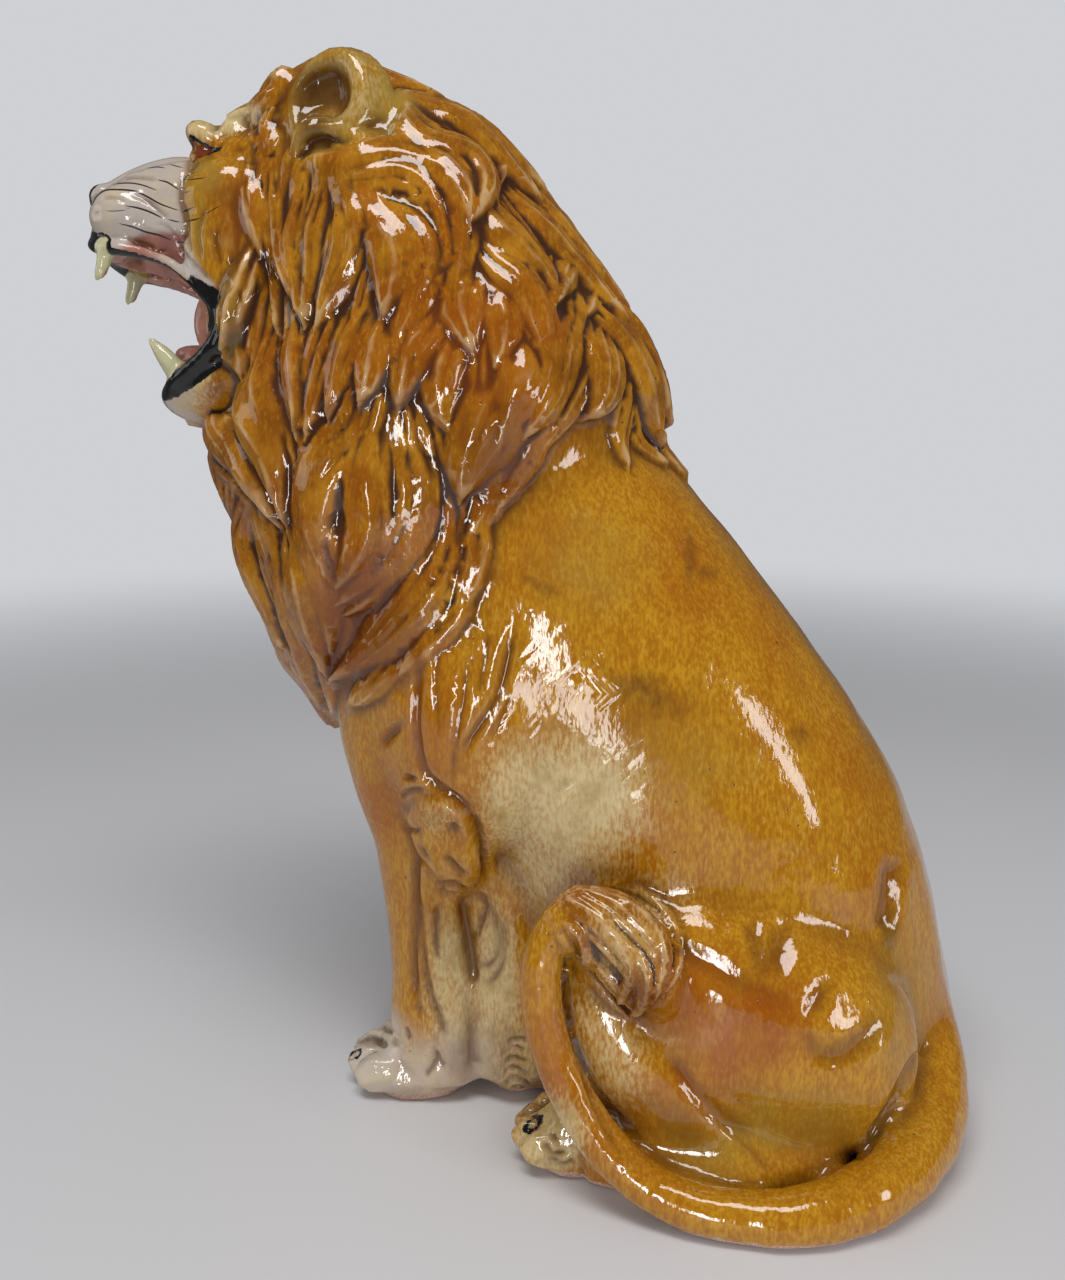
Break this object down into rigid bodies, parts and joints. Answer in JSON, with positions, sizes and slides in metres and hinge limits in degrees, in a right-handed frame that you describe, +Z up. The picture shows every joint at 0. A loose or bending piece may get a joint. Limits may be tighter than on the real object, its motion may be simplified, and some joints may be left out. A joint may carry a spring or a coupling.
{
  "type": "glazed terracotta lion figure",
  "caption": "Seated roaring lion in honey-glazed terracotta, with a wavy mane, an open mouth and a tail curled round its left side, standing on its flat foot.",
  "frame": {"origin": "middle of the figure's box, on the flat foot that it stands on", "axes": "+Z up, the lion faces -Y, and its left side, where the tail lies, is +X"},
  "size_m": [0.357, 0.5654, 0.6485],
  "materials": {
    "honey_glaze": "thick glossy honey-amber lead glaze, pooled brown in the grooves and thin and creamy on the ridges, over pink terracotta"
  },
  "bodies": {
    "root": {"lion": "honey_glaze"}
  },
  "joints": []
}
